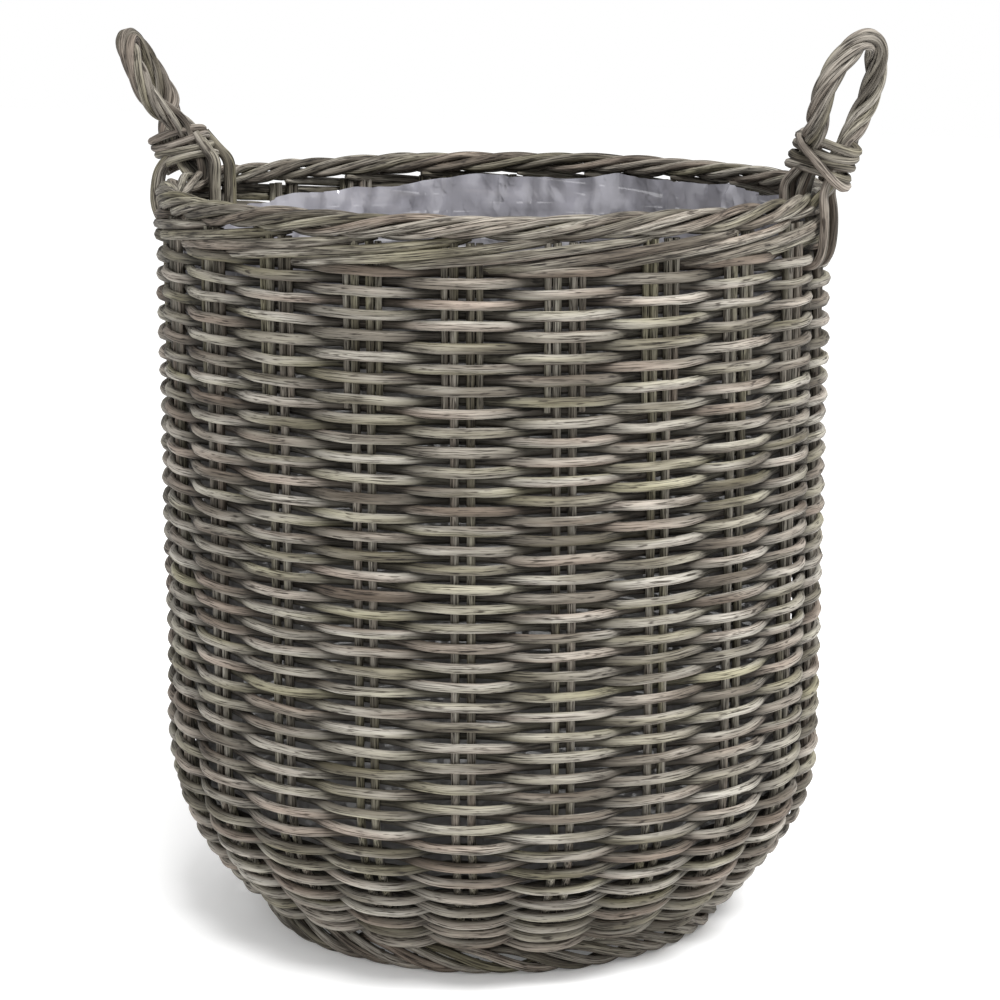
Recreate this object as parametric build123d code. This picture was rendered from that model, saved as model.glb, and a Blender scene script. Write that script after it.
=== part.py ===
from build123d import *
import os
from math import atan2, cos, hypot, radians, sin, tan

os.makedirs("parts", exist_ok=True)

# A round log basket woven from cane. All sizes are in millimetres and degrees.
# The origin is on the floor at the middle of the foot, +Z is up, and the handles stand on +X and -X.

# Overall sizes. Radii of the wall are those of its middle surface.
basket_height = 462.6
rim_radius = 201.0
shoulder_radius = 199.0
shoulder_height = 77.0
base_radius = 150.0
wall_thickness = 13.0
shoulder_bend = 114.0

# Stakes: the upright canes, in groups spaced evenly round the basket
group_count = 22
stake_diameter = 5.0
stake_spacing = 9.2
stake_tail = 50.0
stake_bend = 15.0
bye_stake_diameter = 4.0
bye_stake_length = 95.0
bye_stake_gap = 0.7

# Base: two layers of crossed sticks held by round weave, on the foot border
base_thickness = 13.2
base_eye_radius = 24.0
base_edge_inset = 7.0
stick_diameter = 5.0
stick_gap = 0.4
stick_layer_gap = 0.2
stick_bend = 12.0
stick_end_inset = 11.0
lower_stick_count = 5
upper_stick_count = 6
foot_diameter = 14.0
foot_inset = 9.0
foot_flat_depth = 0.4

# Rim: the wale that tightens the top of the weave, and the rolled border over it
border_diameter = 15.2
border_inset = 1.0
border_gap = 2.4
wale_height = 11.0
upsett_start = 5.0
side_band_count = 4

# Liner: a loose bag of clear film inside the weave
liner_thickness = 0.4
liner_gap = 1.5
liner_top_drop = 21.6

# Handles: a rope bow on each side, wrapped at its neck and tied over the border
rope_diameter = 13.0
rope_gap = 4.0
handle_half_width = 25.0
crown_half_width = 18.0
handle_height = 101.0
neck_height = 30.0
spread_height = 52.0
neck_bend = 18.0
side_bend = 20.0
handle_lean = 23.0
handle_turn = 15.0
handle_swing_out = 10.0
wrap_diameter = 5.5
wrap_pitch = 5.6
wrap_count = 4
wrap_first_height = 3.0
tie_diameter = 5.5
tie_side_gap = 6.65
tie_top_gap = 0.65
tie_offset = 11.0
tie_hole_drop = 14.0
tie_to_neck_gap = 0.7
tie_flat = 0.1
crown_flat = 0.5

# Shares of the room for a bend that it may take, so that a short straight run is always left
bend_share = 0.9
crown_share = 0.95

# Clearances between pieces that lie against each other
fit_gap = 0.2
side_gap = 0.4
lay_gap = 0.3
tie_hole_gap = 0.4

# Places worked out from those sizes
group_angle = 360.0 / group_count
base_middle = foot_diameter - foot_flat_depth + lay_gap + base_thickness / 2
base_top = base_middle + base_thickness / 2
base_bottom = base_middle - base_thickness / 2
border_radius = rim_radius - border_inset
border_middle = basket_height - border_diameter / 2
wale_top = border_middle - border_diameter / 2 - border_gap
wale_bottom = wale_top - wale_height
bye_stake_offset = (stake_spacing + stake_diameter + bye_stake_diameter) / 2 + bye_stake_gap
tie_half_width = border_diameter / 2 + tie_side_gap + tie_diameter / 2
tie_crown = border_diameter / 2 + tie_top_gap + tie_diameter / 2
tie_bottom = wale_bottom - tie_hole_drop

# The wall's middle line in the XZ plane: a straight flare, a round shoulder, then the upright side.
# Angles along it are measured up from the horizontal, in radians.
flare_angle = atan2(shoulder_height - base_middle, shoulder_radius - base_radius)
side_angle = atan2(wale_top - shoulder_height, rim_radius - shoulder_radius)
flare_run = hypot(shoulder_radius - base_radius, shoulder_height - base_middle)
half_turn_tangent = tan((side_angle - flare_angle) / 2)
bend_radius = min(shoulder_bend, bend_share * flare_run / half_turn_tangent)
bend_tangent = bend_radius * half_turn_tangent
flare_end = flare_run - bend_tangent
shoulder_end = flare_end + bend_radius * (side_angle - flare_angle)

# The stakes end under the border, lower by the rise of their tilted ends.
stake_end_rise = stake_diameter / 2 * abs(cos(side_angle))
stake_top = border_middle - border_diameter / 2 - fit_gap - stake_end_rise
bye_stake_bottom = stake_top - bye_stake_length


def wall_point(distance, offset=0.0):
    """Point at a distance along the wall's middle line, moved outwards by offset."""
    if distance <= flare_end:
        angle = flare_angle
        x = base_radius + distance * cos(angle)
        z = base_middle + distance * sin(angle)
    elif distance < shoulder_end:
        angle = flare_angle + (distance - flare_end) / bend_radius
        x = base_radius + flare_end * cos(flare_angle) + bend_radius * (sin(angle) - sin(flare_angle))
        z = base_middle + flare_end * sin(flare_angle) - bend_radius * (cos(angle) - cos(flare_angle))
    else:
        angle = side_angle
        x = shoulder_radius + (distance - shoulder_end + bend_tangent) * cos(angle)
        z = shoulder_height + (distance - shoulder_end + bend_tangent) * sin(angle)
    return Vector(x + offset * sin(angle), 0, z - offset * cos(angle))


def side_distance(height):
    """Distance along the wall's middle line at which its upright side reaches a height."""
    return shoulder_end - bend_tangent + (height - shoulder_height) / sin(side_angle)


def wall_edge(start, end, offset):
    """The line beside the middle line between two distances on one stretch of it."""
    if flare_end <= start and end <= shoulder_end:
        places = (start, (start + end) / 2, end)
        return Edge.make_three_point_arc(*[wall_point(place, offset) for place in places])
    return Edge.make_line(wall_point(start, offset), wall_point(end, offset))


def wall_ring(start, end, half_thickness):
    """Ring of the wall between two distances on one stretch of it."""
    inner = wall_edge(start, end, -half_thickness)
    outer = wall_edge(start, end, half_thickness)
    ends = [Edge.make_line(inner @ side, outer @ side) for side in (0, 1)]
    return revolve(make_face([inner, outer, *ends]), Axis.Z)


def around(shape, shift):
    """Copies of a shape at every group's angle, or between the groups when shift is 0."""
    return [Rot(0, 0, (index + shift) * group_angle) * shape for index in range(group_count)]


def stake_channels(start, end, half_width):
    """The spaces that the stake groups take up inside the weave between two distances."""
    layer = wall_ring(start, end, stake_diameter / 2 + fit_gap)
    reach = 2 * rim_radius
    slab = Pos(reach / 2, 0, basket_height / 2) * Box(reach, 2 * half_width, basket_height)
    return [layer & copy for copy in around(slab, 0.5)]


def weave_band(start, end):
    """Ring of weave with a channel for each stake group."""
    narrow = (stake_spacing + stake_diameter) / 2 + side_gap
    wide = bye_stake_offset + bye_stake_diameter / 2 + side_gap
    wide_start = side_distance(bye_stake_bottom - side_gap)
    band = wall_ring(start, end, wall_thickness / 2)
    if start < wide_start:
        band -= stake_channels(start, min(end, wide_start), narrow)
    if end > wide_start:
        band -= stake_channels(max(start, wide_start), end, wide)
    return band


def tube(path, diameter):
    """Round cane along a path."""
    section = Plane(origin=path @ 0, z_dir=path % 0) * Circle(diameter / 2)
    return sweep(section, path)


def make_stake_group():
    """Two stakes side by side from the base to the border, and a shorter bye-stake on each side."""
    path = FilletPolyline(
        (base_radius - stake_tail, 0, base_middle),
        (base_radius, 0, base_middle),
        (shoulder_radius, 0, shoulder_height),
        wall_point(side_distance(stake_top)),
        radius=[stake_bend, bend_radius],
    )
    stake = tube(path, stake_diameter)
    bye_path = Line(wall_point(side_distance(bye_stake_bottom)), wall_point(side_distance(stake_top)))
    bye_stake = tube(bye_path, bye_stake_diameter)
    canes = [Pos(0, side * stake_spacing / 2, 0) * stake for side in (-1, 1)]
    canes += [Pos(0, side * bye_stake_offset, 0) * bye_stake for side in (-1, 1)]
    return canes


def stick_angles(count):
    """Angles that the sticks of one layer fan out to on one side, measured from the sticks' own line."""
    return [(index - (count - 1) / 2) * group_angle for index in range(count)]


def make_sticks(count, height):
    """One layer of base sticks along X: side by side through the middle, then fanned out."""
    reach = base_radius - stick_end_inset
    pitch = stick_diameter + stick_gap
    sticks = []
    for index, angle in enumerate(stick_angles(count)):
        offset = (index - (count - 1) / 2) * pitch
        end = Vector(reach, 0, height).rotate(Axis.Z, angle)
        if abs(offset) < pitch / 4:
            path = Line((-end.X, end.Y, height), end)
        else:
            bend = offset / tan(radians(angle))
            points = [(-end.X, end.Y), (-bend, offset), (bend, offset), (end.X, end.Y)]
            path = FilletPolyline(*[(x, y, height) for x, y in points], radius=stick_bend)
        sticks.append(tube(path, stick_diameter))
    return sticks


def make_base_weave():
    """Round weave of the base, with a channel for each stick end and each stake group."""
    outer = base_radius - base_edge_inset
    weave = Pos(0, 0, base_middle) * (
        Cylinder(outer, base_thickness) - Cylinder(base_eye_radius, base_thickness)
    )
    stick_size = stick_diameter + 2 * fit_gap
    stick_reach = base_radius - stick_end_inset + side_gap
    for count, height, turn in stick_layers:
        channel = Pos(stick_reach / 2, 0, height) * Box(stick_reach, stick_size, stick_size)
        for angle in stick_angles(count):
            weave -= [Rot(0, 0, turn + half + angle) * channel for half in (0, 180)]
    tail_reach = stake_tail + side_gap
    tail_middle = base_radius - tail_reach / 2
    tail_width = stake_spacing + stake_diameter + 2 * side_gap
    tail = Pos(tail_middle, 0, base_middle) * Box(tail_reach, tail_width, stake_diameter + 2 * fit_gap)
    return weave - around(tail, 0.5)


def make_foot():
    """The foot border, a rope ring with a flat worn on its underside."""
    ring_middle = foot_diameter / 2 - foot_flat_depth
    radius = base_radius - foot_inset
    ring = Pos(0, 0, ring_middle) * Torus(radius, foot_diameter / 2)
    floor = Pos(0, 0, -foot_diameter / 2) * Cylinder(base_radius, foot_diameter)
    return ring - floor


def tie_ring(diameter):
    """One tie of the +X handle: a closed loop over the border and through the weave."""
    inner = border_radius - tie_half_width
    outer = border_radius + tie_half_width
    top = border_middle + tie_crown
    corners = [(outer, tie_bottom), (outer, top), (inner, top), (inner, tie_bottom)]
    low_bend = tie_half_width - tie_flat
    path = FilletPolyline(
        *[(x, 0, z) for x, z in corners],
        radius=[low_bend, tie_crown, tie_crown, low_bend],
        close=True,
    )
    return tube(path, diameter)


def tie_places():
    """Where the four ties stand: the turn of the handle's side, and the shift along the rim."""
    return [(turn, shift) for turn in (0, 180) for shift in (-tie_offset, tie_offset)]


def tie_holes():
    """The holes that the four ties need in the weave and the liner."""
    tool = tie_ring(tie_diameter + 2 * tie_hole_gap)
    return [Rot(0, 0, turn) * Pos(0, shift, 0) * tool for turn, shift in tie_places()]


def inside_space(gap, floor, top):
    """Solid that fills the basket's inside, a gap away from the wall's middle surface."""
    flare = wall_edge(0.0, flare_end, -gap)
    shoulder = wall_edge(flare_end, shoulder_end, -gap)
    side = wall_edge(shoulder_end, side_distance(top), -gap)
    start = flare @ 0
    rim = side @ 1
    corner = Vector(start.X + (floor - start.Z) / tan(flare_angle), 0, floor)
    edges = [
        Edge.make_line((0, 0, floor), corner),
        Edge.make_line(corner, flare @ 1),
        shoulder,
        side,
        Edge.make_line(rim, (0, 0, rim.Z)),
        Edge.make_line((0, 0, rim.Z), (0, 0, floor)),
    ]
    return revolve(make_face(edges), Axis.Z)


def make_liner():
    """Bag of film that lies on the base and stands loosely inside the weave."""
    outer_gap = wall_thickness / 2 + liner_gap
    floor = base_top + lay_gap
    top = basket_height - liner_top_drop
    outer = inside_space(outer_gap, floor, top)
    inner = inside_space(outer_gap + liner_thickness, floor + liner_thickness, top + liner_thickness)
    return outer - inner - tie_holes()


# The frame of the +X handle: its X points outwards, its Y along the rim and its Z up the leaning bow.
# The neck starts just clear of the ties, however far the handle swings out.
lean = radians(handle_lean)
handle_frame = Location(
    Plane(
        origin=(border_radius, 0, border_middle),
        x_dir=(cos(lean), 0, -sin(lean)),
        z_dir=(sin(lean), 0, cos(lean)),
    )
)
tie_reach = (tie_half_width - tie_crown) * sin(lean + radians(handle_swing_out))
neck_start = tie_crown + tie_diameter / 2 + tie_reach + tie_to_neck_gap
rope_offset = (rope_diameter + rope_gap) / 2


def make_bow():
    """The rope bow: up the outer side of the neck, round the grip and down the inner side."""
    turn = radians(handle_turn)
    across = (sin(turn), cos(turn))
    grip_x, grip_y = [handle_half_width * share for share in across]
    crown_x, crown_y = [crown_half_width * share for share in across]
    half = [
        (rope_offset, 0, neck_start),
        (rope_offset, 0, neck_start + neck_height),
        (grip_x, grip_y, neck_start + spread_height),
        (crown_x, crown_y, handle_height),
    ]
    points = half + [(-x, -y, z) for x, y, z in reversed(half)]
    side_rise = handle_height - neck_start - spread_height
    side_in = atan2(handle_half_width - crown_half_width, side_rise)
    spread_out = atan2(grip_y, spread_height - neck_height)
    side_room = side_rise / cos(side_in) - side_bend * tan((spread_out + side_in) / 2)
    crown_room = min(crown_half_width - crown_flat, crown_share * side_room)
    bends = [neck_bend, side_bend, crown_room / tan((radians(90) - side_in) / 2)]
    return tube(FilletPolyline(*points, radius=bends + bends[::-1]), rope_diameter)


def make_wraps():
    """Turns of cane that bind the two legs of the bow together at its neck."""
    around_rope = (rope_diameter + wrap_diameter) / 2 + lay_gap
    turn = tube(SlotCenterToCenter(2 * rope_offset, 2 * around_rope).wire(), wrap_diameter)
    heights = [neck_start + wrap_first_height + index * wrap_pitch for index in range(wrap_count)]
    return [Pos(0, 0, height) * turn for height in heights]


def export(shapes, name):
    """Write one sub-part, joining its separate solids in one file."""
    solids = shapes if isinstance(shapes, list) else [shapes]
    export_step(Compound([solid for shape in solids for solid in shape.solids()]), f"parts/{name}.step")


layer_rise = (stick_diameter + stick_layer_gap) / 2
stick_layers = [
    (lower_stick_count, base_middle - layer_rise, 0),
    (upper_stick_count, base_middle + layer_rise, 90),
]
shoulder_top = wall_point(shoulder_end).Z
band_height = (wale_bottom - shoulder_top) / side_band_count
side_heights = [shoulder_top + index * band_height for index in range(side_band_count + 1)]

# Base
for layer_name, (count, height, turn) in zip(("lower", "upper"), stick_layers):
    export([Rot(0, 0, turn) * stick for stick in make_sticks(count, height)], f"slath_{layer_name}_sticks")
export(make_base_weave(), "base_weave")
export(make_foot(), "foot_border")

# Wall
for index, group in enumerate(around(Compound(make_stake_group()), 0.5)):
    export(group, f"stake_group_{index + 1:02d}")
export(weave_band(upsett_start, flare_end - fit_gap), "upsett_weave")
export(weave_band(flare_end, shoulder_end), "shoulder_weave")
for index in range(side_band_count):
    low = side_distance(side_heights[index]) + fit_gap
    high = side_distance(side_heights[index + 1])
    band = weave_band(low, high)
    if index == side_band_count - 1:
        band -= tie_holes()
    export(band, f"side_weave_{index + 1}")
export(weave_band(side_distance(wale_bottom) + fit_gap, side_distance(wale_top)), "top_wale")
export(Pos(0, 0, border_middle) * Torus(border_radius, border_diameter / 2), "rolled_border")
export(make_liner(), "liner")

# Handles
bow = handle_frame * make_bow()
wraps = [handle_frame * turn for turn in make_wraps()]
ties = [Pos(0, shift, 0) * tie_ring(tie_diameter) for shift in (-tie_offset, tie_offset)]
for side_name in ("right", "left"):
    pieces = {"handle_bow": [bow], "handle_wraps": wraps, "handle_tie_1": ties[:1], "handle_tie_2": ties[1:]}
    for piece_name, shapes in pieces.items():
        if side_name == "left":
            shapes = [mirror(shape, about=Plane.YZ) for shape in shapes]
        export(shapes, f"{side_name}_{piece_name}")
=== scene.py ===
# %% [markdown]
# # A wicker log basket
# This lesson dresses a imported CAD model of a cane basket. The CAD model gives the places and the sizes;
# here each plain ring becomes the canes that it stands for. First the frame is loaded.

# %% Load the frame
from math import atan2, cos, hypot, pi, radians, sin, tan

import bpy
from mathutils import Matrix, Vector, noise


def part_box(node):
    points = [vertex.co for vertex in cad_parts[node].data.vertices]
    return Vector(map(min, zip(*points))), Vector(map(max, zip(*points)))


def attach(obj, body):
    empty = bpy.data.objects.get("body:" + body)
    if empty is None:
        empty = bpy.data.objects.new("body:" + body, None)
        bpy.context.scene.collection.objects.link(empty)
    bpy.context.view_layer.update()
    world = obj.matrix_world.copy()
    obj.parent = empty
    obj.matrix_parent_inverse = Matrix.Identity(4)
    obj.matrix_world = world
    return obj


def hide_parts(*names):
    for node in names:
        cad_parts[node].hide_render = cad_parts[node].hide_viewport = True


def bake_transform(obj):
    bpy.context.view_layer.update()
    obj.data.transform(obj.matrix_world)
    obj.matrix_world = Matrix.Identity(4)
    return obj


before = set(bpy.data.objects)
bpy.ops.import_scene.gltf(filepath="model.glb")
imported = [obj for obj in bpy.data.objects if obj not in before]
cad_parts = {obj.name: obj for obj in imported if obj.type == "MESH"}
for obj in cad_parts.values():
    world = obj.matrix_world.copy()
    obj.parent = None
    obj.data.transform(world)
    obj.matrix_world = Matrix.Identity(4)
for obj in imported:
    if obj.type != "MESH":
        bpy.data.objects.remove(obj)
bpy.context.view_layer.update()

# %% [markdown]
# ## The camera and the light
# A long lens stands a little above the rim and looks down, turned a quarter of the way towards the right
# handle. The floor and the sky are plain and pale. Two square lamps from the right and above draw each
# cane's light upper edge and dark lower edge. One small sun would be simpler, but its hard shadows would
# hide the weave.

# %% Camera
mm = 0.001
camera_turn = radians(21.4)
camera_tilt = radians(11.68)
camera_distance = 1818.4 * mm
camera_height = 637.3 * mm
camera_place = (camera_distance * sin(camera_turn), -camera_distance * cos(camera_turn), camera_height)
camera_data = bpy.data.cameras.new("camera")
camera_data.sensor_width = 36
camera_data.lens = 106.2
camera_data.shift_x = 0.0060
camera = bpy.data.objects.new("camera", camera_data)
camera.location = camera_place
camera.rotation_euler = (pi / 2 - camera_tilt, 0, camera_turn)
scene = bpy.context.scene
scene.collection.objects.link(camera)
scene.camera = camera
scene.view_settings.view_transform = "Standard"
print("camera at", [round(value, 3) for value in camera_place])

# %% [markdown]
# ## Short words for long trees
# Node trees draw both the materials and the canes. Each node could be made in four or five lines of its
# own. One function that adds a node, sets it and links it keeps a tree short enough to read. A Map Range
# node numbers its inputs: the value, the range that it comes from, low and high, and the range that it goes
# to.

# %% Helpers for node trees
MATH = "ShaderNodeMath"
VECTOR = "ShaderNodeVectorMath"
CAPTURE = "GeometryNodeCaptureAttribute"


def linear(hex_colour):
    """An sRGB colour such as "#A9A499" as the linear red, green, blue and alpha that shaders use."""
    shares = [int(hex_colour[index:index + 2], 16) / 255 for index in (1, 3, 5)]
    return [share / 12.92 if share <= 0.04045 else ((share + 0.055) / 1.055) ** 2.4 for share in shares] + [1]


def add(tree, kind, settings=(), inputs=(), captures=()):
    """Add one node, set its properties, then set or link its inputs, given by name or by number.

    An input is a plain value, a socket, or a node, whose first output is linked. Captures are the fields
    that a Capture Attribute node fixes, by name, each with its kind.
    """
    made = tree.nodes.new(kind)
    for name, value in dict(settings).items():
        setattr(made, name, value)
    inputs = dict(inputs)
    for label, (item_kind, value) in dict(captures).items():
        made.capture_items.new(item_kind, label)
        inputs[label] = value
    for key, value in inputs.items():
        if isinstance(value, bpy.types.Node):
            value = value.outputs[0]
        if isinstance(value, bpy.types.NodeSocket):
            tree.links.new(value, made.inputs[key])
        else:
            made.inputs[key].default_value = value
    return made


def surface(name):
    """A new material and its empty tree."""
    material = bpy.data.materials.new(name)
    material.use_nodes = True
    material.node_tree.nodes.clear()
    return material, material.node_tree


def finish_surface(tree, inputs):
    """End a material's tree in one Principled shader with these inputs."""
    shader = add(tree, "ShaderNodeBsdfPrincipled", inputs=inputs)
    add(tree, "ShaderNodeOutputMaterial", inputs={"Surface": shader})


def link_mesh(name, mesh):
    """A new object at the origin that shows a mesh."""
    piece = bpy.data.objects.new(name, mesh)
    scene.collection.objects.link(piece)
    return piece


print("middle grey in linear light:", [round(value, 3) for value in linear("#808080")])

# %% [markdown]
# ## Floor, sky and lamps
# The basket stands on matt white paper under a white sky. A dark floor would also show its shape, but pale
# paper throws light up into the weave.

# %% Floor, sky and lamps
world = bpy.data.worlds.new("sky")
world.use_nodes = True
world.node_tree.nodes.clear()
sky = add(world.node_tree, "ShaderNodeBackground", inputs={"Color": linear("#FFFFFF"), "Strength": 1.0})
add(world.node_tree, "ShaderNodeOutputWorld", inputs={"Surface": sky})
scene.world = world

paper, tree = surface("matt white paper floor")
finish_surface(tree, {
    "Base Color": linear("#F7F7F7"), "Roughness": 0.9, "Specular IOR Level": 0.0,
    "Emission Color": linear("#FFFFFF"), "Emission Strength": 0.12,
})
floor_reach = 6.0
corners = [(x * floor_reach, y * floor_reach, 0) for x, y in ((-1, -1), (1, -1), (1, 1), (-1, 1))]
floor_mesh = bpy.data.meshes.new("floor")
floor_mesh.from_pydata(corners, [], [(0, 1, 2, 3)])
floor_mesh.materials.append(paper)
floor = link_mesh("floor", floor_mesh)
aim_height = 0.25


def lamp(name, turn, height, distance, size, power):
    """A square lamp at a turn about the basket, counted like the camera's, aimed at the basket's middle."""
    data = bpy.data.lights.new(name, "AREA")
    data.size = size
    data.energy = power
    made = bpy.data.objects.new(name, data)
    angle = radians(turn)
    made.location = (distance * sin(angle), -distance * cos(angle), height)
    aim = Vector((0, 0, aim_height)) - made.location
    made.rotation_euler = aim.to_track_quat("-Z", "Y").to_euler()
    scene.collection.objects.link(made)


lamp("key lamp", turn=80, height=2.2, distance=1.6, size=0.7, power=58)
lamp("top lamp", turn=22, height=2.4, distance=1.15, size=0.7, power=36)

# %% [markdown]
# ## Grey-washed rattan
# The canes are whole rattan, peeled, steamed, washed with a thin grey stain and left matt. The eye sees
# fine dark grain along each cane, a colour that drifts between warm grey, olive and pinkish grey from cane
# to cane, and a few brown scars. The woven canes also get painted shade where they dive behind a stake.
# One way is a picture of cane wrapped round each strand. Here nodes draw it, because each skin that Geometry
# Nodes makes carries its own coordinates in an attribute named "cane": two places across the cane and, as
# Z, the distance along it, in metres. The upright stakes read Object coordinates in the same way, because
# their grain runs along Z as well.

# %% Rattan
grain_width = 0.7 * mm
grain_length = 20 * mm
tone_length = 80 * mm
tone_width = 9 * mm
hue_length = 2.2 * tone_length
hue_width = 14 * mm
scar_length = 11 * mm
scar_width = 1.9 * mm


def rattan(name, light, middle, dark, own_attribute=True):
    """Grey-washed rattan with the grain along Z of its coordinates."""
    material, tree = surface(name)
    if own_attribute:
        place = add(tree, "ShaderNodeAttribute", {"attribute_name": "cane"}).outputs["Vector"]
        tint = add(tree, "ShaderNodeAttribute", {"attribute_name": "tint"}).outputs["Fac"]
    else:
        place = add(tree, "ShaderNodeTexCoord").outputs["Object"]
        drift = {"Vector": place, "Scale": 25.0, "Detail": 1.0}
        tint = add(tree, "ShaderNodeTexNoise", inputs=drift).outputs[0]

    def pattern(along, across, detail, roughness, shift):
        """Noise stretched along the cane, different on each cane."""
        scale = (1 / across, 1 / across, 1 / along)
        start = (shift, shift, shift)
        if own_attribute:
            start = add(tree, VECTOR, {"operation": "MULTIPLY"}, {0: tint, 1: start})
        scaled = add(tree, VECTOR, {"operation": "MULTIPLY_ADD"}, {0: place, 1: scale, 2: start})
        inputs = {"Vector": scaled, "Scale": 1.0, "Detail": detail, "Roughness": roughness}
        return add(tree, "ShaderNodeTexNoise", inputs=inputs).outputs["Fac"]

    def stained_or_shaded(colour, value, clear, full, most, stain_or_shade):
        """A coat of stain or painted shade over a colour, from nothing where a value is clear to the most
        where it is full.
        """
        inputs = {0: value, 1: clear, 2: full, 3: 0.0, 4: most}
        amount = add(tree, "ShaderNodeMapRange", inputs=inputs)
        settings = {"data_type": "RGBA", "blend_type": "MULTIPLY"}
        return add(tree, "ShaderNodeMix", settings, {0: amount, 6: colour, 7: linear(stain_or_shade)}).outputs[2]

    grain = pattern(grain_length, grain_width, detail=3.0, roughness=0.62, shift=37.0)
    tone = pattern(tone_length, tone_width, detail=2.0, roughness=0.5, shift=53.0)
    hue = pattern(hue_length, hue_width, detail=1.0, roughness=0.5, shift=91.0)
    scar = pattern(scar_length, scar_width, detail=2.0, roughness=0.5, shift=13.0)
    ramp = add(tree, "ShaderNodeValToRGB", inputs={"Fac": grain})
    ramp.color_ramp.elements[0].position = 0.37
    ramp.color_ramp.elements[0].color = linear(dark)
    ramp.color_ramp.elements[1].position = 0.64
    ramp.color_ramp.elements[1].color = linear(light)
    ramp.color_ramp.elements.new(0.46).color = linear(middle)
    colour = stained_or_shaded(ramp, hue, clear=0.50, full=0.70, most=0.70, stain_or_shade="#E4D0C7")
    colour = stained_or_shaded(colour, hue, clear=0.50, full=0.30, most=0.80, stain_or_shade="#D8D6B6")
    colour = stained_or_shaded(colour, tone, clear=0.58, full=0.36, most=0.80, stain_or_shade="#857E74")
    colour = stained_or_shaded(colour, tint, clear=0.15, full=1.0, most=0.55, stain_or_shade="#968E82")
    colour = stained_or_shaded(colour, scar, clear=0.60, full=0.70, most=0.85, stain_or_shade="#4E4136")
    if own_attribute:
        # Painted shade: a woven cane darkens where it passes behind a stake, where its depth in the weave is
        # low.
        depth = add(tree, "ShaderNodeAttribute", {"attribute_name": "depth"}).outputs["Fac"]
        colour = stained_or_shaded(colour, depth, clear=0.93, full=0.30, most=0.82, stain_or_shade="#4B463D")
    bump = add(tree, "ShaderNodeBump", inputs={"Strength": 0.85, "Distance": 0.4 * mm, "Height": grain})
    roughness = add(tree, "ShaderNodeMapRange", inputs={0: grain, 1: 0.3, 2: 0.7, 3: 0.85, 4: 0.62})
    finish_surface(tree, {
        "Base Color": colour, "Roughness": roughness, "Specular IOR Level": 0.25, "Normal": bump,
    })
    return material


weave_cane = rattan("peeled rattan weaver, grey washed", "#ADA99F", "#96928A", "#3F3A33")
border_cane = rattan("rattan border cane, grey washed", "#A09C92", "#6A655D", "#231F1A")
handle_cane = rattan("rattan handle cane, grey washed", "#A09B92", "#706B64", "#2A2621")
stake_cane = rattan("rattan stake, grey washed", "#A09C92", "#6F6B63", "#28241F", own_attribute=False)
print("materials:", [material.name for material in bpy.data.materials])

# %% [markdown]
# ## How every cane gets its skin
# A cane is a line with a thickness. The skin group turns any curves into canes: it sweeps an eight-sided
# ring along them, swells it a little here and there as real cane does, thins its ends where a strand is
# tucked in, and stores the coordinates that the rattan reads. It could be repeated in each tree, but one
# group keeps every cane on the basket alike.

# %% Tree helpers


def new_tree(name, sockets):
    """A Geometry Nodes tree with these named inputs, each a socket kind and a default, and its input node."""
    tree = bpy.data.node_groups.new(name, "GeometryNodeTree")
    tree.interface.new_socket("Geometry", in_out="OUTPUT", socket_type="NodeSocketGeometry")
    for label, (kind, default) in sockets.items():
        socket = tree.interface.new_socket(label, in_out="INPUT", socket_type="NodeSocket" + kind)
        if default is not None:
            socket.default_value = default
    return tree, tree.nodes.new("NodeGroupInput").outputs


cane_sockets = {
    "Geometry": ("Geometry", None),
    "Cane Radius": ("Float", 0.0029),
    "Swell": ("Float", 0.10),
    "Taper": ("Float", 0.0),
    "Seed": ("Int", 1),
    "Material": ("Material", None),
}
print("what every cane can be told:", list(cane_sockets))

# %% The skin of a cane
cane_sides = 8
end_sharpness = 14.0
lump_places = (28, 50, 0)
lump_gain = 2.6
lump_middle = 1.8
# Depth tells how far in front a woven pass lies. The rattan paints shade where it is low, and 1 means no
# shade.
skin, given = new_tree("cane skin", {**cane_sockets, "Depth": ("Float", 1.0)})
curve_number = add(skin, "GeometryNodeCurveOfPoint")
tint = add(skin, "FunctionNodeRandomValue", {"data_type": "FLOAT"}, {
    "ID": curve_number, "Seed": given["Seed"],
})
share, along = add(skin, "GeometryNodeSplineParameter").outputs[:2]
from_middle = add(skin, MATH, {"operation": "MULTIPLY_ADD"}, {0: share, 1: 2.0, 2: -1.0})
from_middle = add(skin, MATH, {"operation": "ABSOLUTE"}, {0: from_middle})
near_end = add(skin, MATH, {"operation": "POWER"}, {0: from_middle, 1: end_sharpness})
cut = add(skin, MATH, {"operation": "MULTIPLY"}, {0: near_end, 1: given["Taper"]})
whole = add(skin, MATH, {"operation": "SUBTRACT"}, {0: 1.0, 1: cut})
lines = add(skin, CAPTURE, {"domain": "POINT"}, {0: given["Geometry"]}, {
    "along": ("FLOAT", along), "tint": ("FLOAT", tint.outputs[1]), "depth": ("FLOAT", given["Depth"]),
    "whole": ("FLOAT", whole),
})
along, tint, depth = [lines.outputs[label] for label in ("along", "tint", "depth")]
circle = add(skin, "GeometryNodeCurvePrimitiveCircle", inputs={"Resolution": cane_sides, "Radius": 1.0})
here = add(skin, "GeometryNodeInputPosition")
ring = add(skin, CAPTURE, {"domain": "POINT"}, {0: circle}, {"across": ("VECTOR", here)})
spot = add(skin, "ShaderNodeCombineXYZ", inputs={0: along, 1: tint})
spot = add(skin, VECTOR, {"operation": "MULTIPLY"}, {0: spot, 1: lump_places})
lumps = add(skin, "ShaderNodeTexNoise", {"noise_dimensions": "4D"}, {
    "Vector": spot, "W": given["Seed"], "Scale": 1.0, "Detail": 1.0,
})
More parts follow.
